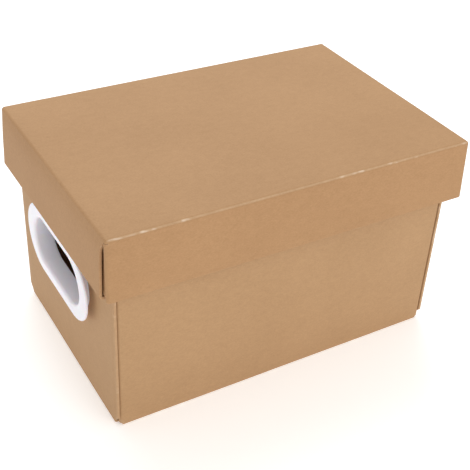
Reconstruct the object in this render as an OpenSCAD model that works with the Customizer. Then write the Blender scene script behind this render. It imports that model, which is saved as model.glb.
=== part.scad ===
// Document box of brown folding board with a lift-off lid and two white moulded hand-hole bezels.
// The long side runs along X, the front faces -Y, and the box stands on Z = 0.
// Lid and base are one folded blank each. A bezel and its inner ring clip together through each end.

/* [Board] */
// Thickness of the board
board_t = 2.4; // [1.6:0.1:3]
// Inner radius of every fold
fold_r = 0.8; // [0.5:0.1:1.5]
// Air left between two layers that lie on each other
layer_gap = 0.2; // [0.1:0.05:0.4]

/* [Closed box] */
// Height of the closed box, from the floor to the lid's top
overall_h = 212.5; // [180:0.5:260]
// Length of the lid, over its top panel
lid_length = 360; // [310:1:420]
// Width of the lid, over its top panel
lid_width = 241; // [210:1:280]
// Air between the rim of the base and the underside of the lid
seat_gap = 0.3; // [0.2:0.1:1]
// Air between the lid's inner end panel and the base, at each end
end_clearance = 1.9; // [1:0.1:4]
// Air between the lid's long skirt and the base, on each side
side_clearance = 7.6; // [3:0.1:10]

/* [Lid] */
// Height of the lid's skirt
skirt_h = 60; // [45:1:75]
// Outward lean of the left end flap, in degrees
left_lean = 4.1; // [0:0.1:5]
// Outward lean of the right end flap, in degrees
right_lean = 4.1; // [0:0.1:5]
// Outward lean of the two long skirts, in degrees
skirt_lean = 1; // [0:0.1:2]
// Angle of the open slit between an end flap and the corner tab behind it
slit_angle = 1.1; // [0:0.1:1.5]
// Length of the lid's corner tabs
lid_tab_length = 45; // [30:1:60]
// Height that a lid tab stops short of the skirt's lower edge
lid_tab_rise = 5; // [5:0.5:10]
// Set-back of an end flap's side edge at the top fold
flap_setback_top = 1.8; // [1:0.1:3]
// Set-back of an end flap's side edge at its lower roll
flap_setback_low = 6; // [5:0.1:9]
// Air between the top panel and the upper edge of an inner end panel
lid_panel_clear = 1; // [0.5:0.1:3]

/* [Base] */
// Length of the base's corner tabs
base_tab_length = 44; // [30:1:48]
// Height that a base tab stops short of the fold under the rim
base_tab_drop = 2; // [1:0.5:6]
// Width cut back at each end of the fold under an end wall
corner_relief_w = 7; // [5:0.5:10]
// Height at which an end wall has its full width again
corner_relief_h = 8; // [6:0.5:14]
// Width of a lock tab at the foot of an inner end panel
lock_w = 42; // [25:1:50]
// Distance of a lock tab's middle from the box's middle
lock_y = 62; // [45:1:70]
// Length by which a lock tab stops short of the floor
lock_rise = 0.4; // [0.2:0.1:1]

/* [Handles] */
// Width of the finger opening
grip_w = 107; // [90:1:115]
// Height of the finger opening
grip_h = 48; // [36:1:50]
// Width of the bezel's face at each end of the opening
band_end = 17.5; // [12:0.5:20]
// Width of the bezel's face above and below the opening
band_side = 11; // [9:0.5:14]
// Height by which the bezel stands out from the end wall
bezel_proud = 8.5; // [5:0.1:10]
// Air between the bezel's top and the lower edge of the lid
bezel_drop = 3; // [0.8:0.1:6]
// Wall of the moulding: its tunnel and its face
mould_t = 2; // [1.5:0.1:2.5]
// Wall of the collar that holds the bezel's face off the end wall
collar_t = 3; // [2:0.5:6]
// Rounding of the bezel's outer edge
bezel_edge_r = 1.3; // [0.5:0.1:1.3]
// Rounding of the lip that leads into the tunnel
lip_r = 3; // [1:0.1:3.5]
// Air between the tunnel and the hole in the board, all round
hole_clearance = 0.3; // [0.2:0.1:1]
// Width of the inner ring around the tunnel
ring_band = 7; // [5:0.5:9]
// Thickness of the inner ring
ring_t = 2; // [1.5:0.1:3]
// Width of an upper snap hook; the one at each round end is half as wide
hook_w = 9; // [6:0.5:12]
// Distance of an upper snap hook's middle from the bezel's middle
hook_x = 18; // [12:1:24]
// Overhang of a snap hook behind the ring
hook_barb = 1.2; // [0.8:0.1:2]

/* [Hidden] */
$fn = 48;
board_colour = "#c49c76";
mould_colour = "#ecebee";
// Outer radius of a fold, and the thickness of a rolled end with its tab inside
fold_out = fold_r + board_t;
stack_t = 3 * board_t + 2 * layer_gap;
// Outer size of the base, from the lid that fits over it
base_length = lid_length - 2 * (stack_t + end_clearance);
base_width = lid_width - 2 * (board_t + side_clearance);
base_h = overall_h - board_t - seat_gap;
// Distance from the outer face of an end to the axis of the corner fold behind it
corner_in = board_t + layer_gap + fold_out;
lid_corner_x = lid_length / 2 - corner_in;
base_corner_x = base_length / 2 - corner_in;
// Half width of the base's rolled rim and of its inner end panel
rim_half_w = base_width / 2 - fold_out - layer_gap;
relief_half_w = base_width / 2 - corner_relief_w;
// Bezel outline: two half circles joined by a straight run, around the finger opening
grip_r = grip_h / 2;
grip_run = grip_w - grip_h;
bezel_r = grip_r + band_side;
bezel_run = grip_run + 2 * (band_end - band_side);
tunnel_r = grip_r + mould_t;
handle_z = overall_h - skirt_h - bezel_drop - bezel_r;
// Nose of a corner tab: its length, the taper of the tab's edges and the height cut off its corners
tab_nose = 4;
lid_tab_taper = 1;
lid_tab_cut = 7;
base_tab_taper = 2;
base_tab_cut = 10;
// Air around the inner ring and the lock tabs, and the slits that free the lid's corners
snap_gap = 0.2;
top_slit = 0.6;
corner_slit = 0.3;
// A flat laps a little over a fold that leans, and the fold starts that many degrees late under it
late = 10;
lap_spare = 0.15;
lap = fold_out * sin(late) + lap_spare;
// Snap hook: set in from the tunnel's inner side, rooted in the tunnel's wall, with a sloping tip
hook_in = 0.6;
hook_t = mould_t - hook_in;
hook_root = 1.5;
hook_tip = 1.6;
hook_slope = 0.2;
// A hook at a round end is narrower, and is set in so that its flat back stays inside the curve
end_hook_w = hook_w / 2;
hook_spare = 0.15;
end_hook_in = tunnel_r - sqrt(tunnel_r * tunnel_r - end_hook_w * end_hook_w / 4) + hook_spare;
// Slack used by cutting shapes
cut = 1;

// Bent board: it starts on +X, turns through "angle" about Z and is "run" long
module fold(run, angle) {
    rotate_extrude(angle = angle) translate([fold_r, 0]) square([board_t, run]);
}

// The same bend laid along X, half its run to each side, starting at the angle "from" above +Y
module fold_along_x(half, from, angle) {
    translate([-half, 0, 0]) rotate([90, 0, 90]) rotate([0, 0, from]) fold(2 * half, angle);
}

// The same bend laid along Y, half its run to each side, starting at the angle "from" above +X
module fold_along_y(half, from, angle) {
    translate([0, half, 0]) rotate([90, 0, 0]) rotate([0, 0, from]) fold(2 * half, angle);
}

// Board panel in the XZ plane: its outer face lies one outer fold radius in front of Y = 0
module front_panel(points) {
    translate([0, -fold_r, 0]) rotate([90, 0, 0]) linear_extrude(board_t) polygon(points);
}

// Board panel in the YZ plane: its outer face lies one outer fold radius left of X = 0
module end_panel(points) {
    translate([-fold_out, 0, 0]) rotate([90, 0, 90]) linear_extrude(board_t) polygon(points);
}

// Corner tab: it narrows by "taper" at each edge, then its two end corners are cut off
module tab(length, low, high, taper, corner) {
    neck = length - tab_nose;
    end_panel([[0, low], [neck, low + taper], [length, low + taper + corner],
               [length, high - taper - corner], [neck, high - taper], [0, high]]);
}

// Mirrors its children to the back as well
module front_and_back() {
    children();
    mirror([0, 1, 0]) children();
}

// Mirrors its children to the right as well
module both_ends() {
    children();
    mirror([1, 0, 0]) children();
}

// Top fold of the left end of the lid
module lid_end_fold(lean) {
    translate([-lid_length / 2 + fold_out, 0, overall_h - fold_out]) rotate([0, lean, 0])
        fold_along_y(lid_width / 2 - fold_out - corner_slit, 180, lean + late - 90);
}

// Top panel with the folds around it, and a small relief at each of the four corners
module lid_top() {
    flat_l = lid_length - 2 * fold_out;
    flat_w = lid_width - 2 * fold_out;
    translate([0, 0, overall_h - board_t]) linear_extrude(board_t) {
        square([flat_l + 2 * lap, flat_w - 4 * corner_slit], center = true);
        square([flat_l - 4 * corner_slit, flat_w + 2 * lap], center = true);
    }
    front_and_back()
        translate([0, -flat_w / 2, overall_h - fold_out]) rotate([-skirt_lean, 0, 0])
            fold_along_x(flat_l / 2 - corner_slit, 180, skirt_lean + late - 90);
    lid_end_fold(left_lean);
    mirror([1, 0, 0]) lid_end_fold(right_lean);
}

// Corner fold and tab at the left end of the front skirt, leaning with the end
module lid_corner(lean) {
    long = skirt_h - fold_out;
    translate([-lid_corner_x, 0, 0]) rotate([0, lean - slit_angle, 0]) {
        translate([0, 0, -long]) rotate([0, 0, 180]) fold(long - top_slit, 90 - late);
        tab(lid_tab_length, lid_tab_rise - long, -top_slit, lid_tab_taper, lid_tab_cut);
    }
}

// Front skirt with its two corner tabs, hung from the front top fold
module lid_skirt() {
    long = skirt_h - fold_out;
    // The panel laps over the start of the two corner folds
    top_x = lid_corner_x + lap;
    left_x = top_x + long * tan(left_lean - slit_angle);
    right_x = top_x + long * tan(right_lean - slit_angle);
    translate([0, -lid_width / 2 + fold_out, overall_h - fold_out]) rotate([-skirt_lean, 0, 0]) {
        front_panel([[-top_x, 0], [-left_x, -long], [right_x, -long], [top_x, 0]]);
        lid_corner(left_lean);
        mirror([1, 0, 0]) lid_corner(right_lean);
    }
}

// Left end of the lid: the leaning flap, the roll at its foot and the panel turned up inside
module lid_end(lean) {
    top_half_w = lid_width / 2 - flap_setback_top;
    low_half_w = lid_width / 2 - flap_setback_low;
    drop = (skirt_h - fold_out) / cos(lean) - stack_t * tan(lean);
    long = drop - fold_out;
    // The roll's inner fold lies where the inner panel passes just inside the tab
    roll_flat = board_t + layer_gap + (long * sin(slit_angle) - 2 * fold_r + layer_gap) / cos(slit_angle);
    panel_h = long - lid_panel_clear;
    translate([-lid_length / 2 + fold_out, 0, overall_h - fold_out]) rotate([0, lean, 0]) {
        end_panel([[-top_half_w, 0], [-low_half_w, -long], [low_half_w, -long], [top_half_w, 0]]);
        translate([0, 0, -long]) {
            fold_along_y(low_half_w, 180, 90);
            translate([0, -low_half_w, -fold_out]) cube([roll_flat, 2 * low_half_w, board_t]);
            translate([roll_flat, 0, 0]) {
                fold_along_y(low_half_w, 270, 90 + slit_angle - late);
                rotate([0, -slit_angle, 0])
                    translate([fold_r, -low_half_w, -lap]) cube([board_t, 2 * low_half_w, panel_h + lap]);
            }
        }
    }
}

module lid() {
    color(board_colour) union() {
        lid_top();
        front_and_back() lid_skirt();
        lid_end(left_lean);
        mirror([1, 0, 0]) lid_end(right_lean);
    }
}

// Bottom panel, with its corners cut back and slots for the lock tabs
module base_floor() {
    slot_x = base_length / 2 - stack_t - snap_gap;
    difference() {
        union() {
            translate([-base_corner_x, fold_out - base_width / 2, 0])
                cube([2 * base_corner_x, base_width - 2 * fold_out, board_t]);
            translate([fold_out - base_length / 2, -relief_half_w, 0])
                cube([base_length - 2 * fold_out, 2 * relief_half_w, board_t]);
        }
        both_ends() front_and_back()
            translate([-slot_x - board_t - 2 * snap_gap, lock_y - lock_w / 2 - snap_gap, -cut])
                cube([board_t + 2 * snap_gap, lock_w + 2 * snap_gap, board_t + 2 * cut]);
    }
}

// Front wall with its bottom fold, and the corner fold and tab at its left end
module base_front() {
    wall_h = base_h - fold_out;
    tab_top = wall_h - fold_out - base_tab_drop;
    translate([0, fold_out - base_width / 2, fold_out]) {
        fold_along_x(base_corner_x, 180, 90);
        front_panel([[-base_corner_x, 0], [base_corner_x, 0],
                     [base_corner_x, wall_h], [-base_corner_x, wall_h]]);
        both_ends() translate([-base_corner_x, 0, 0]) {
            translate([0, 0, layer_gap]) rotate([0, 0, 180]) fold(wall_h - layer_gap, 90);
            tab(base_tab_length, corner_relief_h, tab_top, base_tab_taper, base_tab_cut);
        }
    }
}

// Left end wall: outer panel, rolled rim, inner panel and its two lock tabs
module base_end() {
    wall_h = base_h - 2 * fold_out;
    rim_flat = stack_t - 2 * fold_out;
    panel_foot = board_t + layer_gap - fold_out;
    side = base_width / 2;
    translate([fold_out - base_length / 2, 0, fold_out]) {
        fold_along_y(relief_half_w, 180, 90);
        end_panel([[-relief_half_w, 0], [-side, corner_relief_h], [-side, wall_h - corner_relief_h],
                   [-rim_half_w, wall_h], [rim_half_w, wall_h], [side, wall_h - corner_relief_h],
                   [side, corner_relief_h], [relief_half_w, 0]]);
        translate([0, 0, wall_h]) {
            fold_along_y(rim_half_w, 90, 90);
            translate([0, -rim_half_w, fold_r]) cube([rim_flat, 2 * rim_half_w, board_t]);
            translate([rim_flat, 0, 0]) fold_along_y(rim_half_w, 0, 90);
        }
        translate([rim_flat + fold_r, -rim_half_w, panel_foot])
            cube([board_t, 2 * rim_half_w, wall_h - panel_foot]);
        front_and_back()
            translate([rim_flat + fold_r, lock_y - lock_w / 2, lock_rise - fold_out])
                cube([board_t, lock_w, 2 * board_t]);
    }
}

// Solid obround along Z, from z0 to z1
module obround(run, r, z0, z1) {
    translate([0, 0, z0]) linear_extrude(z1 - z0) {
        square([run, 2 * r], center = true);
        for (x = [-run / 2, run / 2]) translate([x, 0]) circle(r);
    }
}

// Carries a section (radius, height) once around an obround
module around_obround(run) {
    for (turn = [0, 180]) rotate([0, 0, turn]) {
        translate([run / 2, 0, 0]) rotate([0, 0, -90]) rotate_extrude(angle = 180) children();
        translate([-run / 2, 0, 0]) rotate([90, 0, 90]) linear_extrude(run) children();
    }
}

// Puts children on the left end wall: their Z points out of the box, their X runs along the wall
module on_left_wall() {
    translate([-base_length / 2, 0, handle_z]) rotate([90, 0, -90]) children();
}

module box_base() {
    color(board_colour) difference() {
        union() {
            base_floor();
            front_and_back() base_front();
            both_ends() base_end();
        }
        both_ends() on_left_wall() obround(grip_run, tunnel_r + hole_clearance, -stack_t - cut, cut);
    }
}

// Snap hook on the upper side of the tunnel's inner end
module hook(width) {
    back = -stack_t - ring_t - snap_gap / 2;
    translate([width / 2, 0, 0]) rotate([0, -90, 0]) linear_extrude(width)
        polygon([[hook_root - stack_t, tunnel_r - hook_t], [hook_root - stack_t, tunnel_r],
                 [back, tunnel_r], [back, tunnel_r + hook_barb],
                 [back - hook_tip, tunnel_r - hook_slope], [back - hook_tip, tunnel_r - hook_t]]);
}

// Outer moulding: a thin face with a rounded edge, a collar behind it, and a tunnel with four hooks
module handle_bezel() {
    color(mould_colour) difference() {
        union() {
            around_obround(bezel_run) translate([0, bezel_proud - mould_t]) {
                square([bezel_r - bezel_edge_r, mould_t]);
                square([bezel_r, mould_t - bezel_edge_r]);
                translate([bezel_r - bezel_edge_r, mould_t - bezel_edge_r])
                    intersection() {
                        circle(bezel_edge_r);
                        square(bezel_edge_r);
                    }
            }
            obround(grip_run, tunnel_r + collar_t, 0, bezel_proud - mould_t / 2);
            obround(grip_run, tunnel_r, -stack_t, cut);
            for (x = [-hook_x, hook_x]) translate([x, 0, 0]) hook(hook_w);
            for (turn = [-90, 90])
                rotate([0, 0, turn]) translate([0, grip_run / 2 - end_hook_in, 0]) hook(end_hook_w);
        }
        obround(grip_run, grip_r, -stack_t - cut, bezel_proud + cut);
        around_obround(grip_run)
            translate([grip_r - cut, bezel_proud - lip_r]) difference() {
                square([lip_r + cut, lip_r + cut]);
                translate([lip_r + cut, 0]) circle(lip_r);
            }
    }
}

// Inner ring: a flat frame that the hooks hold against the inner end panel
module handle_ring() {
    color(mould_colour) difference() {
        obround(grip_run, tunnel_r + ring_band, -stack_t - ring_t, -stack_t);
        obround(grip_run, tunnel_r + snap_gap, -stack_t - ring_t - cut, cut);
    }
}

module left_handle_bezel() {
    on_left_wall() handle_bezel();
}

module left_handle_ring() {
    on_left_wall() handle_ring();
}

module right_handle_bezel() {
    mirror([1, 0, 0]) on_left_wall() handle_bezel();
}

module right_handle_ring() {
    mirror([1, 0, 0]) on_left_wall() handle_ring();
}

box_base();
lid();
left_handle_bezel();
left_handle_ring();
right_handle_bezel();
right_handle_ring();
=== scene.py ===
# %% [markdown]
# A document box is two sheets of brown board, cut flat and folded: a tray with high walls, and a
# shallow lid that drops over it. Each end wall is rolled over and holds a white moulded hand hole.
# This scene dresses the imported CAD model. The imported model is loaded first, because every piece
# is built on its sizes, and its box is kept so that the dressed model can be measured against it.

# %% Load the frame
from math import cos, radians, sin, tan

import bmesh
import bpy
from mathutils import Matrix, Vector


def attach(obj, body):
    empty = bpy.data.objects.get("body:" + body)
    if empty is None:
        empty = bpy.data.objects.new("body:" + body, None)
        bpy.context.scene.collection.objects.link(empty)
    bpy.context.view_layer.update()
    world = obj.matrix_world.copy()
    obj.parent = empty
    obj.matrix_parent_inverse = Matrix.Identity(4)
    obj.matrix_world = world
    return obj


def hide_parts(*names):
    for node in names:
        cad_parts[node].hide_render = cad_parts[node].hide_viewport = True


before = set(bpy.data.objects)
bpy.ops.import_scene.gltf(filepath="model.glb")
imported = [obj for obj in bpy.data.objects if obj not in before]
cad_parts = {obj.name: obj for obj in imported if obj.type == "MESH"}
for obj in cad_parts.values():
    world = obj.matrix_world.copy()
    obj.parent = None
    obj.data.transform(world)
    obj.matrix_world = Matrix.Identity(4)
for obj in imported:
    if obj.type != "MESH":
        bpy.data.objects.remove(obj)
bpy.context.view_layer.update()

MM = 0.001

# %% [markdown]
# A product photograph on white is taken with a long lens from some distance, so the box's edges
# nearly stay parallel. The camera could be aimed with a Track To constraint, but this photograph
# is also tilted by about three degrees. Three turns set it exactly: the tilt about the camera's
# own axis first, then the look down, then the turn round the box. The lens follows from the
# frame's width in pixels.

# %% Camera
IMAGE = 470
FOCAL_PIXELS = 941
SENSOR = 36
CAMERA_PLACE = (-396.3, -656.1, 623.6)
AZIMUTH, ELEVATION, TILT = 31.66, -34.95, 3.27
camera = bpy.data.objects.new("photo_camera", bpy.data.cameras.new("photo_camera"))
bpy.context.scene.collection.objects.link(camera)
camera.data.sensor_width = SENSOR
camera.data.lens = SENSOR * FOCAL_PIXELS / IMAGE
turns = Matrix.Identity(4)
for degrees, axis in ((-AZIMUTH, "Z"), (90 + ELEVATION, "X"), (TILT, "Z")):
    turns = turns @ Matrix.Rotation(radians(degrees), 4, axis)
camera.matrix_world = Matrix.Translation(Vector(CAMERA_PLACE) * MM) @ turns
bpy.context.scene.camera = camera
print("lens", round(camera.data.lens, 1), "mm")

# %% [markdown]
# The photograph has a pure white ground and very soft light: the top is only a little lighter
# than the front, and the front a little lighter than the end. A nearly white world gives the even
# fill. One large lamp in front and one above and behind shape the three sides. The Standard view
# keeps the paper's own colours, where the default one would wash them out.

# %% Floor, world and lamps
bpy.ops.object.select_all(action="DESELECT")
bpy.ops.mesh.primitive_plane_add(size=6, location=(0, 0, 0))
floor = bpy.context.active_object
floor.name = "floor"

world = bpy.data.worlds.new("white_studio")
world.use_nodes = True
sky = world.node_tree.nodes["Background"].inputs
sky["Color"].default_value = (1.0, 0.978, 0.94, 1)
sky["Strength"].default_value = 0.71
bpy.context.scene.world = world
bpy.context.scene.view_settings.view_transform = "Standard"


def lamp(name, place, aim, size, watts, tint):
    """A square area lamp at place that looks at aim, both in metres."""
    light = bpy.data.lights.new(name, "AREA")
    light.size = size
    light.energy = watts
    light.color = tint
    holder = bpy.data.objects.new(name, light)
    bpy.context.scene.collection.objects.link(holder)
    look = (Vector(aim) - Vector(place)).to_track_quat("-Z", "Y")
    holder.matrix_world = Matrix.Translation(place) @ look.to_matrix().to_4x4()


BOX_MIDDLE = (0, 0, 0.1)
lamp("front_lamp", (0.5, -2.2, 1.5), BOX_MIDDLE, 1.6, 14, (1, 0.97, 0.93))
lamp("top_lamp", (0.4, 1.3, 1.9), BOX_MIDDLE, 1.8, 30, (0.83, 0.93, 1))

# %% [markdown]
# Both sheets share the same helpers. A folded sheet is modelled as a flat panel whose open edges
# are spun round each fold line and then extruded on, as a hand folds a blank. Operators work on
# what is selected, so two helpers select open edges, points or faces by their place, and the
# others bend or lengthen the sheet from there. All their lengths are in millimetres.

# %% Helpers for folding a sheet
def flat_panel(name, columns, rows, low, high, height):
    """A grid between the corners low and high at that height, in edit mode with nothing selected."""
    bpy.ops.object.select_all(action="DESELECT")
    bpy.ops.mesh.primitive_grid_add(x_subdivisions=columns, y_subdivisions=rows, size=1,
                                    location=(0, 0, 0))
    sheet = bpy.context.active_object
    sheet.name = name
    bpy.ops.object.mode_set(mode="EDIT")
    size = ((high[0] - low[0]) * MM, (high[1] - low[1]) * MM, 1)
    bpy.ops.transform.resize(value=size, center_override=(0, 0, 0))
    middle = ((low[0] + high[0]) / 2 * MM, (low[1] + high[1]) / 2 * MM, height * MM)
    bpy.ops.transform.translate(value=middle)
    return sheet


def score(axis, places):
    """Cuts the whole sheet along lines at these places on the axis, 0 for X and 1 for Y."""
    normal = [0, 0, 0]
    normal[axis] = 1
    for place in places:
        bpy.ops.mesh.select_all(action="SELECT")
        bpy.ops.mesh.bisect(plane_co=Vector(normal) * place * MM, plane_no=normal)
    bpy.ops.mesh.select_all(action="DESELECT")


def pick(sheet, test):
    """Selects the open edges whose two ends both pass test(x, y, z)."""
    bpy.ops.mesh.select_mode(type="EDGE")
    bpy.ops.mesh.select_all(action="DESELECT")
    mesh = bmesh.from_edit_mesh(sheet.data)
    found = [e for e in mesh.edges if e.is_boundary and all(test(*(v.co / MM)) for v in e.verts)]
    for edge in found:
        edge.select_set(True)
    bmesh.update_edit_mesh(sheet.data)
    return len(found)


def choose(piece, kind, test):
    """Selects the points, or the faces where kind is FACE, whose place passes test(x, y, z)."""
    bpy.ops.mesh.select_mode(type=kind)
    bpy.ops.mesh.select_all(action="DESELECT")
    mesh = bmesh.from_edit_mesh(piece.data)
    for part in mesh.faces if kind == "FACE" else mesh.verts:
        place = part.calc_center_median() if kind == "FACE" else part.co
        part.select_set(bool(test(*(place / MM))))
    bmesh.update_edit_mesh(piece.data)


def bend(center, axis, degrees, steps=6):
    """Spins the selected edge round a fold line through center."""
    bpy.ops.mesh.spin(steps=steps, angle=-radians(degrees), center=Vector(center) * MM, axis=axis)


def extend(offset, scale=(1, 1, 1), about=(0, 0, 0)):
    """Extrudes the selected edge by the offset, then scales the new edge about a point."""
    bpy.ops.mesh.extrude_region_move(TRANSFORM_OT_translate={"value": Vector(offset) * MM})
    if scale != (1, 1, 1):
        bpy.ops.transform.resize(value=scale, center_override=Vector(about) * MM)


# %% [markdown]
# The sizes below are the real box's, taken from the CAD model: a board of 2.4 mm that bends to an
# outer radius of 3.2 mm. The end flaps of a lid that has been used lean outwards by four degrees.
# Its corner folds lean less, the left ones hardly at all, so a slit opens between fold and flap.

# %% Sizes of the board and the lid
BOARD = 2.4
OUTER = 3.2
TOP = 212.5
FLAT_X, FLAT_Y = 176.8, 117.3
SKIRT = 56.8
SKIRT_LEAN = 1.0
FLAP_LEAN = 4.1
SLIT = 1.1
CORNER_LEANS = {-1: 0.3, 1: 2.5}
CREASE = 1.8
axis_z = TOP - OUTER
print("lid folds at", FLAT_X + OUTER, "by", FLAT_Y + OUTER)

# %% [markdown]
# The lid's blank is the same front and back, so only the front half is folded, and a mirror makes
# the rest. The grid gives the board enough points to be a little uneven later. Scored lines near
# each fold keep its shading tight, as the crease of a real blank does.

# %% Lid: top panel and the front top fold
lid = flat_panel("lid_board", 30, 10, (-FLAT_X, -FLAT_Y), (FLAT_X, 0), TOP)
score(0, (CREASE - FLAT_X, FLAT_X - CREASE))
score(1, (CREASE - FLAT_Y,))
pick(lid, lambda x, y, z: y < 0.01 - FLAT_Y)
bend((0, -FLAT_Y, axis_z), (1, 0, 0), 90 - SKIRT_LEAN)
print("lid faces after the first fold:", len(bmesh.from_edit_mesh(lid.data).faces))

# %% [markdown]
# The front skirt hangs from that fold and leans out by one degree. It gets wider towards its
# lower edge, because the corner folds at its two ends lean. Each row is extruded along the lean
# and then scaled to its own width. The last row is narrow and keeps the light line along the cut
# edge thin: a painted highlight with some wear in it.

# %% Lid: front skirt
# the last, narrow row limits the painted highlight along the cut edge
skirt_rows = (0.5, 1.7, 9.6, 10, 10, 10, 10, 4.2, 0.8)
skirt_down = Vector((0, -sin(radians(SKIRT_LEAN)), -cos(radians(SKIRT_LEAN))))
slants = {side: tan(radians(CORNER_LEANS[side])) for side in CORNER_LEANS}
pick(lid, lambda x, y, z: y < -FLAT_Y - 3 and z < axis_z + 0.1)
left, right = -FLAT_X, FLAT_X
for row in skirt_rows:
    new_left, new_right = left - row * slants[-1], right + row * slants[1]
    middle = (new_left + new_right) / 2
    shift = Vector((middle - (left + right) / 2, 0, 0))
    wider = (new_right - new_left) / (right - left)
    extend(skirt_down * row + shift, (wider, 1, 1), (middle, 0, 0))
    left, right = new_left, new_right
print("front skirt runs from", round(left, 1), "to", round(right, 1), "over", sum(skirt_rows), "mm")

# %% [markdown]
# At each end the skirt turns the corner and becomes a tab that lies inside the rolled end. Its
# fold line is slanted, so the spin's axis is the direction of the skirt's own side edge. A short
# step inwards takes the tab behind the flap, and its scale along X gives it the flap's own slant.
# The last row of the tab is scaled down in height, which cuts off its two corners.

# %% Lid: corner folds and tabs
TAB_STEP_IN, TAB_STEP_BACK = 2.7, 2.3
TAB_ROWS = (0.7, 10, 10, 10, 8, 4)
TAB_MIDDLE, TAB_END_SHARE = 26.2, 0.74
tab_slant = tan(radians(FLAP_LEAN - SLIT))
tab_in = Vector((0, cos(radians(SKIRT_LEAN)), -sin(radians(SKIRT_LEAN))))
for side in (-1, 1):
    def on_side(x, y, z):
        depth = (axis_z - z) / cos(radians(SKIRT_LEAN))
        edge = side * (FLAT_X + depth * slants[side])
        return y < -FLAT_Y - 2 and abs(x - edge) < 0.05 and 0.4 < depth < SKIRT + 0.1

    found = pick(lid, on_side)
    fold_line = Vector((side * slants[side], skirt_down.y, skirt_down.z)).normalized()
    bend((side * FLAT_X, -FLAT_Y, axis_z), fold_line, -90 * side)
    folded = [v.co / MM for v in bmesh.from_edit_mesh(lid.data).verts if v.select]

    def on_tab(x, y, z):
        gap = min((Vector((x, y, z)) - corner).length for corner in folded)
        return gap < 0.01 and z > axis_z - SKIRT + 4.5

    pick(lid, on_tab)
    extend((-side * TAB_STEP_IN, TAB_STEP_BACK, 0), (tab_slant / slants[side], 1, 1),
           (side * (FLAT_X + OUTER - TAB_STEP_IN), 0, 0))
    for row in TAB_ROWS[:-1]:
        extend(tab_in * row)
    extend(tab_in * TAB_ROWS[-1], (1, 1, TAB_END_SHARE), (0, 0, axis_z - TAB_MIDDLE))
    print("side", side, "corner edges", found)

# %% [markdown]
# An end flap starts from the top panel's end edge, leans outwards, and is rolled over at its foot
# into a second panel that holds the tab between them. Its local directions lean with it, so two
# small vectors turn a distance inwards and a distance upwards into the box's own directions. The
# tab behind pushes the flap out a little under its fold: that bow is added row by row.

# %% Lid: rolled ends
FLAP = 53.2
ROLL_FLAT = 2.22
flap_rows = (2, 3, 3, 4, 9.2, 10, 10, 10, 2)
flap_bow = (0.35, 0.8, 1.1, 1.25, 1.15, 0.8, 0.4, 0.05, 0)
flap_half = (116.2, 114.8, 113.9, 113.4, 113.5, 113.8, 114.1, 114.4, 114.4)
inner_rows = (2, 10, 10, 10, 10, 8.2, 2)
for side in (-1, 1):
    lean = radians(FLAP_LEAN)
    inwards = Vector((-side * cos(lean), 0, -sin(lean)))
    upwards = Vector((-side * sin(lean), 0, cos(lean)))
    hinge = Vector((side * FLAT_X, 0, axis_z))
    turn = (0, side, 0)
    pick(lid, lambda x, y, z: side * x > FLAT_X - 0.01 and z > TOP - 0.01 and y > -FLAT_Y - 0.01)
    bend(hinge, turn, 90 - FLAP_LEAN)
    width, out = FLAT_Y, 0
    for row, bow, half in zip(flap_rows, flap_bow, flap_half):
        extend(-upwards * row - inwards * (bow - out), (1, half / width, 1))
        width, out = half, bow
    bend(hinge - upwards * FLAP, turn, 90)
    extend(inwards * ROLL_FLAT)
    bend(hinge - upwards * FLAP + inwards * ROLL_FLAT, turn, 90 + SLIT)
    slit = radians(FLAP_LEAN - SLIT)
    rise = Vector((-side * sin(slit), 0, cos(slit)))
    for row in inner_rows:
        extend(rise * row)
    print("side", side, "flap half width", round(width, 1))

# %% [markdown]
# Where the front fold and an end fold meet, the pressed board closes to a small round corner.
# Spinning the end of the front fold a quarter turn about an upright axis gives that rounding, and
# merging its last points with the end fold's closes the seam. Below it the slit stays open.

# %% Lid: closed top corners
for side in (-1, 1):
    pick(lid, lambda x, y, z: abs(x - side * FLAT_X) < 0.01 and y < 0.01 - FLAT_Y and z > axis_z - 0.1)
    bend((side * FLAT_X, -FLAT_Y, axis_z), (0, 0, 1), 90 * side, steps=5)
choose(lid, "VERT", lambda x, y, z: abs(x) > FLAT_X - 0.5 and y < 0.3 - FLAT_Y and z > axis_z - 0.5)
bpy.ops.mesh.remove_doubles(threshold=0.25 * MM)
bpy.ops.object.mode_set(mode="OBJECT")
print("lid half:", len(lid.data.polygons), "faces")

# %% [markdown]
# The folded surface is now finished as board. The mirror makes the back half. Wear and a painted
# highlight are remembered as a number on each point, strongest where the surface faces halfway
# between two flats, which is the crest of a fold, and less along the cut edges. A very soft cloud
# pattern moves the surface in by up to a third of a millimetre, Solidify gives the board its
# thickness, and Bevel takes the sharpness off the cut edges. The depth inside the board is kept as
# a second number, for the liners and the core that a cut edge shows.

# %% Helpers that finish a sheet
def apply_modifier(piece, kind, **settings):
    """Adds one modifier with these settings and applies it."""
    bpy.context.view_layer.objects.active = piece
    modifier = piece.modifiers.new(kind.title(), kind)
    for name, value in settings.items():
        setattr(modifier, name, value)
    bpy.ops.object.modifier_apply(modifier=modifier.name)


def soften(piece, width, segments=2, angle=60):
    """Bevels every edge that turns by more than the angle."""
    apply_modifier(piece, "BEVEL", width=width * MM, segments=segments, limit_method="ANGLE",
                   angle_limit=radians(angle))


def mark_folds(sheet):
    """Stores each point's share of wear and painted highlight: 1 on a long fold's crest, less on other
    folds and cut edges.
    """
    mesh = bmesh.new()
    mesh.from_mesh(sheet.data)
    mesh.normal_update()
    layer = mesh.verts.layers.float.new("fold")
    for vertex in mesh.verts:
        x, y, z = (abs(c) for c in vertex.normal)
        crest = max(2 * y * z, 1.1 * x * z, 1.2 * x * y)
        # a cut edge gets half: a painted highlight where its edge catches the light
        vertex[layer] = max(crest ** 3, 0.5 if vertex.is_boundary else 0)
    mesh.to_mesh(sheet.data)
    mesh.free()


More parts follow.
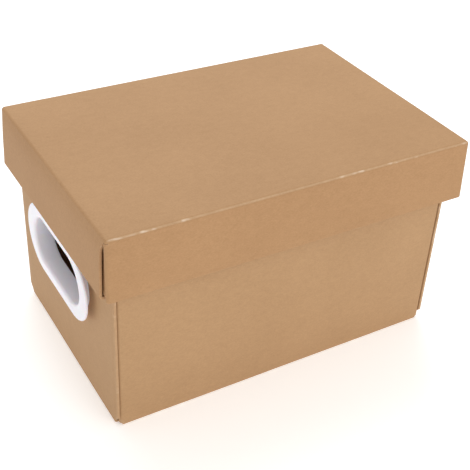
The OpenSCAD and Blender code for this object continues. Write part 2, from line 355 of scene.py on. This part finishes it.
def store_depth(sheet, group):
    """Copies the weight of the inner shell into a number that the material can read."""
    index = sheet.vertex_groups[group].index
    values = [next((g.weight for g in v.groups if g.group == index), 0) for v in sheet.data.vertices]
    layer = sheet.data.attributes.new("depth", "FLOAT", "POINT")
    layer.data.foreach_set("value", values)
    sheet.vertex_groups.clear()


CLOUD_SIZE, UNEVEN = 90, 0.35


def make_board(sheet, mirror):
    """Mirrors, roughens and thickens a folded surface."""
    apply_modifier(sheet, "MIRROR", use_axis=mirror, merge_threshold=0.02 * MM)
    mark_folds(sheet)
    clouds = bpy.data.textures.new(sheet.name + "_unevenness", "CLOUDS")
    clouds.noise_scale = CLOUD_SIZE * MM
    clouds.noise_depth = 1
    apply_modifier(sheet, "DISPLACE", texture=clouds, strength=UNEVEN * MM, mid_level=1,
                   texture_coords="LOCAL")
    sheet.vertex_groups.new(name="inside")
    apply_modifier(sheet, "SOLIDIFY", thickness=BOARD * MM, offset=-1, use_even_offset=True,
                   use_quality_normals=True, shell_vertex_group="inside", material_offset_rim=1)
    soften(sheet, 0.3)
    store_depth(sheet, "inside")
    bpy.ops.object.select_all(action="DESELECT")
    sheet.select_set(True)
    bpy.ops.object.shade_smooth_by_angle(angle=radians(35))


print("helpers ready")

# %% [markdown]
# New faces of a spin follow the face they start from, so the lid's normals already point outwards
# where the top panel's does. The printout checks that before the board gets its thickness.

# %% Lid: board
lid.data.update()
top_face = max(lid.data.polygons, key=lambda face: face.center.z)
print("top faces", "up" if top_face.normal.z > 0 else "down")
bpy.ops.object.select_all(action="DESELECT")
make_board(lid, (False, True, False))
print("lid board:", len(lid.data.polygons), "faces, box in mm",
      [round(d / MM, 1) for d in lid.dimensions])

# %% [markdown]
# The base is a tray whose walls are folded up from its floor. It is the same at both ends and at
# both sides, so a quarter of it is enough. The floor's outer side is the one underneath. Its
# corner is cut away, which leaves each wall its own fold, and so is the slot for a lock tab. Both
# are faces between scored lines, which are selected by their middles and deleted. The end wall
# gets wider before it comes down inside, so the lines of its lock tabs are scored closer in.

# %% Base: floor and front wall
RIM = 209.8
BASE_X, BASE_Y = 167.3, 107.3
CORNER_X, RELIEF_Y = 164.7, 103.5
SLOT_X, SLOT_Y = (162.7, 165.5), (40.8, 83.2)
LOCK_Y, RIM_HALF = (41, 83), 107.1
lock_lines = [round(-y * RELIEF_Y / RIM_HALF, 2) for y in LOCK_Y]
base = flat_panel("base_board", 14, 9, (-BASE_X, -BASE_Y), (0, 0), 0)
score(0, (-SLOT_X[1], -CORNER_X, -SLOT_X[0]))
score(1, (-RELIEF_Y, -SLOT_Y[1], lock_lines[1], -SLOT_Y[0], lock_lines[0]))


def cut_away(x, y, z):
    in_slot = SLOT_X[0] < -x < SLOT_X[1] and SLOT_Y[0] < -y < SLOT_Y[1]
    return in_slot or (x < -CORNER_X and y < -RELIEF_Y)


choose(base, "FACE", cut_away)
bpy.ops.mesh.delete(type="FACE")
bpy.ops.mesh.select_all(action="SELECT")
bpy.ops.mesh.flip_normals()
pick(base, lambda x, y, z: y < 0.01 - BASE_Y)
bend((0, -BASE_Y, OUTER), (1, 0, 0), -90)
front_rows = [0.6, 7.4] + [12] * 16 + [1.4, 3.2, 2]
for row in front_rows:
    extend((0, 0, row))
print("front wall reaches", round(OUTER + sum(front_rows), 1), "mm")

# %% [markdown]
# The front wall turns the corner into a tab, as the lid's skirt does, but here all folds are
# upright. Its fold starts a little above the floor's fold, so the two never meet.

# %% Base: corner fold and tab
pick(base, lambda x, y, z: abs(x + CORNER_X) < 0.01 and y < -BASE_Y - 3 and z > OUTER + 0.5)
bend((-CORNER_X, -BASE_Y, 0), (0, 0, 1), -90)
pick(base, lambda x, y, z: x < -CORNER_X - 3 and abs(y + BASE_Y) < 0.01 and 11 < z < 205)
tab_rows = (3, 11, 13, 13, 4)
tab_middle, tab_end_share = 107.9, 0.9
for row in tab_rows[:-1]:
    extend((0, row, 0))
extend((0, tab_rows[-1], 0), (1, 1, tab_end_share), (0, 0, tab_middle))
print("tab is", sum(tab_rows), "mm long")

# %% [markdown]
# The end wall rises to the rim, is rolled over there and comes down again inside, so that the
# tabs are held between its two layers. It is full width in the middle, and narrower at the foot
# and at the rim, where it must pass the front and back walls. Two lock tabs at the foot of the
# inner layer reach down into slots in the floor.

# %% Base: rolled end wall
END_HALF, TAPER = 110.5, 8
RIM_FLAT, LOCK_DROP = 1.2, 2.2
end_rows = 16
pick(base, lambda x, y, z: x < 0.01 - BASE_X and z < 0.01)
bend((-BASE_X, 0, OUTER), (0, 1, 0), 90)
extend((0, 0, TAPER), (1, END_HALF / RELIEF_Y, 1))
for row in range(end_rows):
    extend((0, 0, (RIM - 2 * OUTER - 2 * TAPER) / end_rows))
extend((0, 0, TAPER), (1, RIM_HALF / END_HALF, 1))
bend((-BASE_X, 0, RIM - OUTER), (0, 1, 0), 90)
extend((RIM_FLAT, 0, 0))
bend((RIM_FLAT - BASE_X, 0, RIM - OUTER), (0, 1, 0), 90)
for row in [12] * 17:
    extend((0, 0, -row))
pick(base, lambda x, y, z: -164 < x < -160 and 2 < z < 3 and LOCK_Y[0] - 0.1 < -y < LOCK_Y[1] + 0.1)
extend((0, 0, -LOCK_DROP))
bpy.ops.object.mode_set(mode="OBJECT")
print("base quarter:", len(base.data.polygons), "faces")

# %% [markdown]
# The hand hole is cut through the finished board with Boolean, because one cutter goes through
# both layers at once, as the punch of a board press does. The cutter is a cylinder whose two
# halves are moved apart.

# %% Base: board and hand holes
GRIP_Z = 114.5
GRIP_RUN = 59
HOLE_RADIUS, HOLE_DEPTH, HOLE_X = 26.3, 24, 167


def pull_apart(run, axis=1):
    """Moves the two halves of the selected points apart along Y, or along X where axis is 0."""
    data = bpy.context.active_object.data
    chosen = {v.index for v in bmesh.from_edit_mesh(data).verts if v.select}
    for half in (-1, 1):
        bpy.ops.mesh.select_all(action="DESELECT")
        mesh = bmesh.from_edit_mesh(data)
        for vertex in mesh.verts:
            if vertex.index in chosen and vertex.co[axis] * half > 0:
                vertex.select_set(True)
        bmesh.update_edit_mesh(data)
        step = [0, 0, 0]
        step[axis] = half * run / 2 * MM
        bpy.ops.transform.translate(value=step)
    mesh = bmesh.from_edit_mesh(data)
    for vertex in mesh.verts:
        vertex.select_set(vertex.index in chosen)
    mesh.select_flush(True)
    bmesh.update_edit_mesh(data)


make_board(base, (True, True, False))
for side in (-1, 1):
    bpy.ops.object.select_all(action="DESELECT")
    bpy.ops.mesh.primitive_cylinder_add(vertices=62, radius=HOLE_RADIUS * MM, depth=HOLE_DEPTH * MM,
                                        location=(side * HOLE_X * MM, 0, GRIP_Z * MM),
                                        rotation=(0, radians(90), 0))
    hole = bpy.context.active_object
    bpy.ops.object.transform_apply(location=True, rotation=True, scale=True)
    bpy.ops.object.mode_set(mode="EDIT")
    bpy.ops.mesh.select_mode(type="VERT")
    bpy.ops.mesh.select_all(action="SELECT")
    pull_apart(GRIP_RUN)
    bpy.ops.object.mode_set(mode="OBJECT")
    apply_modifier(base, "BOOLEAN", operation="DIFFERENCE", solver="EXACT", object=hole)
    bpy.data.objects.remove(hole)
print("base board:", len(base.data.polygons), "faces, box in mm",
      [round(d / MM, 1) for d in base.dimensions])

# %% [markdown]
# Each hand hole has a white moulding in two parts. The outer one, seen from outside, is a thin
# face with a soft lip that leads into a short tunnel. All its outlines are two half circles joined
# by a straight run. The first is a circle whose halves are moved apart; each next one is extruded
# from it, scaled, and moved apart a little more or less. An outline is named by its radius and
# its run.

# %% Helpers for the mouldings
WALL_X = 170.5
STACK = 7.6
AROUND = 96


def first_outline(name, radius, run, height):
    """Starts a moulding with an obround outline flat at that height, selected in edit mode."""
    bpy.ops.object.select_all(action="DESELECT")
    bpy.ops.mesh.primitive_circle_add(vertices=AROUND, radius=radius * MM, location=(0, 0, 0),
                                      rotation=(0, 0, radians(180 / AROUND)))
    bpy.ops.object.transform_apply(location=True, rotation=True, scale=True)
    bpy.context.active_object.name = name
    bpy.ops.object.mode_set(mode="EDIT")
    bpy.ops.mesh.select_mode(type="VERT")
    bpy.ops.mesh.select_all(action="SELECT")
    bpy.ops.transform.translate(value=(0, 0, height * MM))
    pull_apart(run, axis=0)
    return bpy.context.active_object


def next_outline(old, new, rise):
    """Extrudes the selected outline by rise, and takes it from the old (radius, run) to the new."""
    bpy.ops.mesh.extrude_region_move(TRANSFORM_OT_translate={"value": (0, 0, rise * MM)})
    if new != old:
        scale = new[0] / old[0]
        bpy.ops.transform.resize(value=(scale, scale, 1), center_override=(0, 0, 0))
        pull_apart(new[1] - old[1] * scale, axis=0)


def close_section():
    """Merges the last outline with the first and turns all faces outwards."""
    bpy.ops.mesh.select_all(action="SELECT")
    bpy.ops.mesh.remove_doubles(threshold=0.01 * MM)
    bpy.ops.mesh.normals_make_consistent(inside=False)


def round_edge(piece, height, distance, slack, radius, segments):
    """Bevels the outline at that height and about that distance from the middle line."""
    bpy.ops.mesh.select_mode(type="EDGE")
    bpy.ops.mesh.select_all(action="DESELECT")
    mesh = bmesh.from_edit_mesh(piece.data)
    for edge in mesh.edges:
        ends = [v.co / MM for v in edge.verts]
        level = all(abs(p.z - height) < 0.01 for p in ends)
        reach = [Vector((max(abs(p.x) - GRIP_RUN / 2, 0), p.y)).length for p in ends]
        edge.select_set(level and all(abs(r - distance) < slack for r in reach))
    bmesh.update_edit_mesh(piece.data)
    bpy.ops.mesh.bevel(offset=radius * MM, segments=segments, affect="EDGES")


def put_on_wall(piece, side):
    """Turns a moulding from its own axes to the left or right end wall, with its place in its mesh."""
    piece.rotation_euler = (radians(90), 0, radians(90 * side))
    piece.location = (side * WALL_X * MM, 0, GRIP_Z * MM)
    bpy.ops.object.select_all(action="DESELECT")
    piece.select_set(True)
    bpy.context.view_layer.objects.active = piece
    bpy.ops.object.transform_apply(location=True, rotation=True, scale=True)
    bpy.ops.object.shade_smooth_by_angle(angle=radians(40))


print("moulding stands on the walls at x", WALL_X, "and is centred at z", GRIP_Z)

# %% [markdown]
# The bezel's section is drawn once round the hole: up the thin edge, in over the face, down the
# tunnel, and back outside it to the collar that holds the face off the wall. The face stands free
# of the wall, which is why a line of shadow follows its edge. The last outline meets the first.

# %% Bezel
FLANGE, GRIP, TUNNEL, COLLAR = (35, 72), (24, 59), (26, 59), (29, 59)
FACE, WALL = 8.5, 2
bezel = first_outline("left_bezel", *FLANGE, FACE - WALL)
next_outline(FLANGE, FLANGE, WALL)
next_outline(FLANGE, GRIP, 0)
next_outline(GRIP, GRIP, -FACE - STACK)
next_outline(GRIP, TUNNEL, 0)
next_outline(TUNNEL, TUNNEL, STACK)
next_outline(TUNNEL, COLLAR, 0)
next_outline(COLLAR, COLLAR, FACE - WALL)
next_outline(COLLAR, FLANGE, 0)
close_section()
round_edge(bezel, FACE, 24, 0.6, 3, 6)
round_edge(bezel, FACE, 39, 4, 1.3, 4)
bpy.ops.object.mode_set(mode="OBJECT")
soften(bezel, 0.25)
print("bezel:", len(bezel.data.polygons), "faces, wall", WALL, "mm")

# %% [markdown]
# A snap hook is a short springy post with a wedge-shaped nose that holds the inner ring. It starts
# as a cube that is cut across. The nose is one face, extruded outwards, and its far edge is then
# moved back in, which slopes it so that the ring can slide over.

# %% One snap hook
HOOK = (9, 1.4, 5.2)
HOOK_PLACE = (0, 25.3, -8.7)
NOSE_Z, NOSE = -9.7, 1.2
bpy.ops.object.select_all(action="DESELECT")
bpy.ops.mesh.primitive_cube_add(size=1, location=Vector(HOOK_PLACE) * MM, scale=Vector(HOOK) * MM)
hook = bpy.context.active_object
bpy.ops.object.transform_apply(location=True, rotation=True, scale=True)
bpy.ops.object.mode_set(mode="EDIT")
bpy.ops.mesh.select_all(action="SELECT")
bpy.ops.mesh.bisect(plane_co=(0, 0, NOSE_Z * MM), plane_no=(0, 0, 1))
choose(hook, "FACE", lambda x, y, z: y > 25.9 and z < NOSE_Z - 0.1)
bpy.ops.mesh.extrude_region_move(TRANSFORM_OT_translate={"value": (0, NOSE * MM, 0)})
choose(hook, "VERT", lambda x, y, z: y > 27 and z < -11)
bpy.ops.transform.translate(value=(0, -1.3 * MM, 0))
bpy.ops.object.mode_set(mode="OBJECT")
soften(hook, 0.15, angle=30)
print("hook in mm:", [round(d / MM, 1) for d in hook.dimensions])

# %% [markdown]
# Two hooks stand on the tunnel's upper side and a narrower one at each round end. Each is a copy
# with its own mesh, moved or turned in that mesh, and all are joined to the bezel, because they
# are moulded with it.

# %% Hooks on the bezel
HOOK_X, END_SHIFT, END_WIDTH = 18, 29.25, 0.5
places = [Matrix.Translation((side * HOOK_X * MM, 0, 0)) for side in (-1, 1)]
for side in (-1, 1):
    places.append(Matrix.Rotation(radians(90 * side), 4, "Z")
                  @ Matrix.Translation((0, END_SHIFT * MM, 0)) @ Matrix.Diagonal((END_WIDTH, 1, 1, 1)))
bpy.ops.object.select_all(action="DESELECT")
for place in places:
    copy = hook.copy()
    copy.data = hook.data.copy()
    bpy.context.scene.collection.objects.link(copy)
    copy.data.transform(place)
    copy.select_set(True)
bpy.data.objects.remove(hook)
bezel.select_set(True)
bpy.context.view_layer.objects.active = bezel
bpy.ops.object.join()
print("bezel with", len(places), "hooks:", len(bezel.data.polygons), "faces")

# %% [markdown]
# The inner ring is a flat frame. Its section is a rectangle carried once round the tunnel: out
# from the wall, in towards the tunnel and back, and the last outline is merged with the first.

# %% Inner ring
RING, CLEAR = (33, 59), (26.2, 59)
ring = first_outline("left_ring", *RING, -STACK)
next_outline(RING, RING, -2)
next_outline(RING, CLEAR, 0)
next_outline(CLEAR, CLEAR, 2)
next_outline(CLEAR, RING, 0)
close_section()
bpy.ops.object.mode_set(mode="OBJECT")
soften(ring, 0.5, segments=3)
print("ring:", len(ring.data.polygons), "faces")

# %% [markdown]
# Both ends carry the same moulding. The left pair is copied before it is turned, and the copy is
# put on the right wall. Applying the turn leaves each object at the origin with its place in its
# mesh, which is what the shared frame of this model asks for.

# %% Mouldings on both end walls
mouldings = []
for piece in (bezel, ring):
    twin = piece.copy()
    twin.data = piece.data.copy()
    twin.name = piece.name.replace("left", "right")
    bpy.context.scene.collection.objects.link(twin)
    put_on_wall(piece, -1)
    put_on_wall(twin, 1)
    mouldings += [piece, twin]
print("mouldings:", [(m.name, [round(d / MM, 1) for d in m.dimensions]) for m in mouldings])

# %% [markdown]
# A shader is a small tree of nodes. These helpers add one node each, set its choices, and fill
# its inputs with plain values or with links from other nodes, so that a finish reads as a list:
# noises of some sizes, ranges taken out of them, and mixes between two colours.

# %% Helpers for finishes
def finish(name):
    """A new node material: returns it, its tree and its Principled shader."""
    material = bpy.data.materials.new(name)
    material.use_nodes = True
    return material, material.node_tree, material.node_tree.nodes["Principled BSDF"]


def node(tree, kind, inputs, **choices):
    """Adds a shader node. Each input is a plain value or another node's output."""
    made = tree.nodes.new("ShaderNode" + kind)
    for name, value in choices.items():
        setattr(made, name, value)
    for key, value in inputs.items():
        if isinstance(value, bpy.types.NodeSocket):
            tree.links.new(value, made.inputs[key])
        else:
            made.inputs[key].default_value = value
    return made


def noise(tree, vector, scale, detail, roughness=0.5):
    """The value of a noise with that many waves to a metre."""
    inputs = {"Vector": vector, "Scale": scale, "Detail": detail, "Roughness": roughness}
    return node(tree, "TexNoise", inputs).outputs["Fac"]


def remap(tree, value, low, high, to_low=0, to_high=1):
    """Stretches the range from low to high over the range from to_low to to_high."""
    inputs = {"Value": value, "From Min": low, "From Max": high, "To Min": to_low, "To Max": to_high}
    return node(tree, "MapRange", inputs).outputs[0]


COLOR_A, COLOR_B = 6, 7


def mix_values(tree, share, first, second):
    """Mixes two numbers."""
    return node(tree, "Mix", {0: share, 2: first, 3: second}, data_type="FLOAT").outputs[0]


def mix_colors(tree, share, first, second, name="colors"):
    """Mixes two colours."""
    inputs = {0: share, COLOR_A: first, COLOR_B: second}
    return node(tree, "Mix", inputs, data_type="RGBA", name=name).outputs[2]


print("finish helpers ready")

# %% [markdown]
# Brown liner paper is smooth but never even. It is clouded over a few centimetres, mottled over a
# few millimetres, and has short fibres that lie mostly one way. The clouds, mottling and fibres
# are noises of three sizes, mixed between a darker and a lighter brown. Object coordinates keep
# them the same size on every side, and a stretched Mapping lays the fibres along the box.

# %% Finish: brown board
lid_paper, tree, shader = finish("brown_board")
place = node(tree, "TexCoord", {}).outputs["Object"]
stretched = node(tree, "Mapping", {"Vector": place, "Scale": (0.6, 1, 1)}).outputs["Vector"]
clouds = noise(tree, place, 13, 2)
mottling = noise(tree, stretched, 220, 5, 0.75)
fibres = noise(tree, stretched, 900, 2)
both = mix_values(tree, 0.6, clouds, mottling)
spread = remap(tree, mix_values(tree, 0.4, both, fibres), 0.36, 0.64)
paper = mix_colors(tree, spread, (0.405, 0.226, 0.106, 1), (0.480, 0.276, 0.136, 1), "paper")
print("paper is mixed from", len(tree.nodes), "nodes")

# %% [markdown]
# Where the board is creased, its surface is stretched and rubbed, and the crest of a fold catches
# the light: a fold's crest is painted a little lighter than the flats beside it, partly as wear and
# partly as a painted highlight, and so is a thin line along each cut edge. The number stored on each
# point says where that is, and the mottling breaks the light line up. In a few places the liner is
# scuffed through to pale fibres: a coarser noise, stretched along the box, chooses them.

# %% Finish: worn folds with a painted highlight
fold = node(tree, "Attribute", {}, attribute_name="fold").outputs["Fac"]
ridge = remap(tree, fold, 0.3, 0.95)
ridge_breakup = remap(tree, mottling, 0.3, 0.7, 0.35, 0.9)
wear_and_highlight = node(tree, "Math", {0: ridge, 1: ridge_breakup}, operation="MULTIPLY").outputs[0]
# painted highlight and wear: a lighter tan on fold crests and along cut edges
wear_and_highlight_color = mix_colors(tree, wear_and_highlight, paper, (0.62, 0.42, 0.26, 1))
torn = remap(tree, noise(tree, stretched, 60, 3, 0.7), 0.57, 0.68)
scuff = node(tree, "Math", {0: ridge, 1: torn}, operation="MULTIPLY").outputs[0]
wear_and_highlight_color = mix_colors(tree, scuff, wear_and_highlight_color, (0.78, 0.62, 0.47, 1))
tree.links.new(wear_and_highlight_color, shader.inputs["Base Color"])
shader.inputs["Roughness"].default_value = 0.72
shader.inputs["Specular IOR Level"].default_value = 0.3
height = mix_values(tree, 0.5, mottling, fibres)
bump = node(tree, "Bump", {"Strength": 0.25, "Distance": 0.0003, "Height": height}).outputs["Normal"]
tree.links.new(bump, shader.inputs["Normal"])
print("brown board has", len(tree.nodes), "nodes")

# %% [markdown]
# The base was folded from another sheet, which is a little paler and less red. A copy of the
# finished material keeps all its nodes, so that only the two browns of its named mix change.

# %% Finish: brown board of the base
base_paper = lid_paper.copy()
base_paper.name = "brown_board_base"
browns = base_paper.node_tree.nodes["paper"].inputs
browns[COLOR_A].default_value = (0.425, 0.252, 0.126, 1)
browns[COLOR_B].default_value = (0.500, 0.304, 0.158, 1)
print("base board is a copy with", len(base_paper.node_tree.nodes), "nodes")

# %% [markdown]
# A cut edge shows the inside of the sheet: a paler liner on each face and a rough, darker core.
# The depth stored on each point runs from 0 on the outer face to 1 on the inner one, so its
# distance from the middle tells liner from core.

# %% Finish: cut edge of the board
edge, tree, shader = finish("cut_edge")
place = node(tree, "TexCoord", {}).outputs["Object"]
grain = noise(tree, place, 1200, 3)
depth_in = node(tree, "Attribute", {}, attribute_name="depth").outputs["Fac"]
off_middle = node(tree, "Math", {0: depth_in, 1: 0.5}, operation="SUBTRACT").outputs[0]
from_middle = node(tree, "Math", {0: off_middle}, operation="ABSOLUTE").outputs[0]
liner = remap(tree, from_middle, 0.3, 0.42)
core = mix_colors(tree, grain, (0.34, 0.20, 0.11, 1), (0.52, 0.33, 0.20, 1))
cut = mix_colors(tree, liner, core, (0.56, 0.38, 0.24, 1))
tree.links.new(cut, shader.inputs["Base Color"])
shader.inputs["Roughness"].default_value = 0.85
print("cut edge has", len(tree.nodes), "nodes")

# %% [markdown]
# The mouldings are a white plastic with a faint violet cast. Light goes a little way into such a
# plastic and comes out again, so a subsurface share softens the shade inside the tunnel; a very
# faint glow, which is painted light, lifts that shade further. The mould's skin is nearly smooth,
# and a faint bump keeps it from looking like glass.

# %% Finish: white moulding
white, tree, shader = finish("white_moulding")
place = node(tree, "TexCoord", {}).outputs["Object"]
skin = noise(tree, place, 260, 2)
tone = mix_colors(tree, skin, (0.68, 0.67, 0.73, 1), (0.72, 0.71, 0.77, 1))
tree.links.new(tone, shader.inputs["Base Color"])
shader.inputs["Roughness"].default_value = 0.38
shader.inputs["Subsurface Weight"].default_value = 0.4
shader.inputs["Subsurface Scale"].default_value = 0.006
# painted light: a faint glow that lifts the shade inside the tunnel, though the moulding is no lamp
shader.inputs["Emission Color"].default_value = (1, 0.96, 1, 1)
shader.inputs["Emission Strength"].default_value = 0.13
ripple = node(tree, "Bump", {"Strength": 0.08, "Distance": 0.0004, "Height": skin}).outputs["Normal"]
tree.links.new(ripple, shader.inputs["Normal"])
print("white moulding has", len(tree.nodes), "nodes")

# %% [markdown]
# The photograph's ground is pure white right up to the box. A light table does that in a studio:
# the floor gives off a little light of its own, which also lifts the lower parts of the box.

# %% Finish: floor
ground, tree, shader = finish("white_floor")
shader.inputs["Base Color"].default_value = (0.93, 0.93, 0.93, 1)
shader.inputs["Roughness"].default_value = 0.9
shader.inputs["Emission Color"].default_value = (1, 1, 1, 1)
shader.inputs["Emission Strength"].default_value = 0.34
floor.data.materials.append(ground)
print("floor is plain white")

# %% [markdown]
# Last, every piece gets its finish and rides on its body: the base's pieces on the base, and the
# lid's board on the lid, which lifts straight up.

sheets = ((lid, "lid", "lid", lid_paper), (base, "base", "box_base", base_paper))
for sheet, body, stands_for, board in sheets:
    sheet.data.materials.clear()
    sheet.data.materials.append(board)
    sheet.data.materials.append(edge)
    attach(sheet, body)
    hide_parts(stands_for)
for piece in mouldings:
    piece.data.materials.clear()
    piece.data.materials.append(white)
    side, part = piece.name.split("_")
    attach(piece, "base")
    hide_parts(side + "_handle_" + part)
print("pieces:", [lid.name, base.name] + [m.name for m in mouldings])
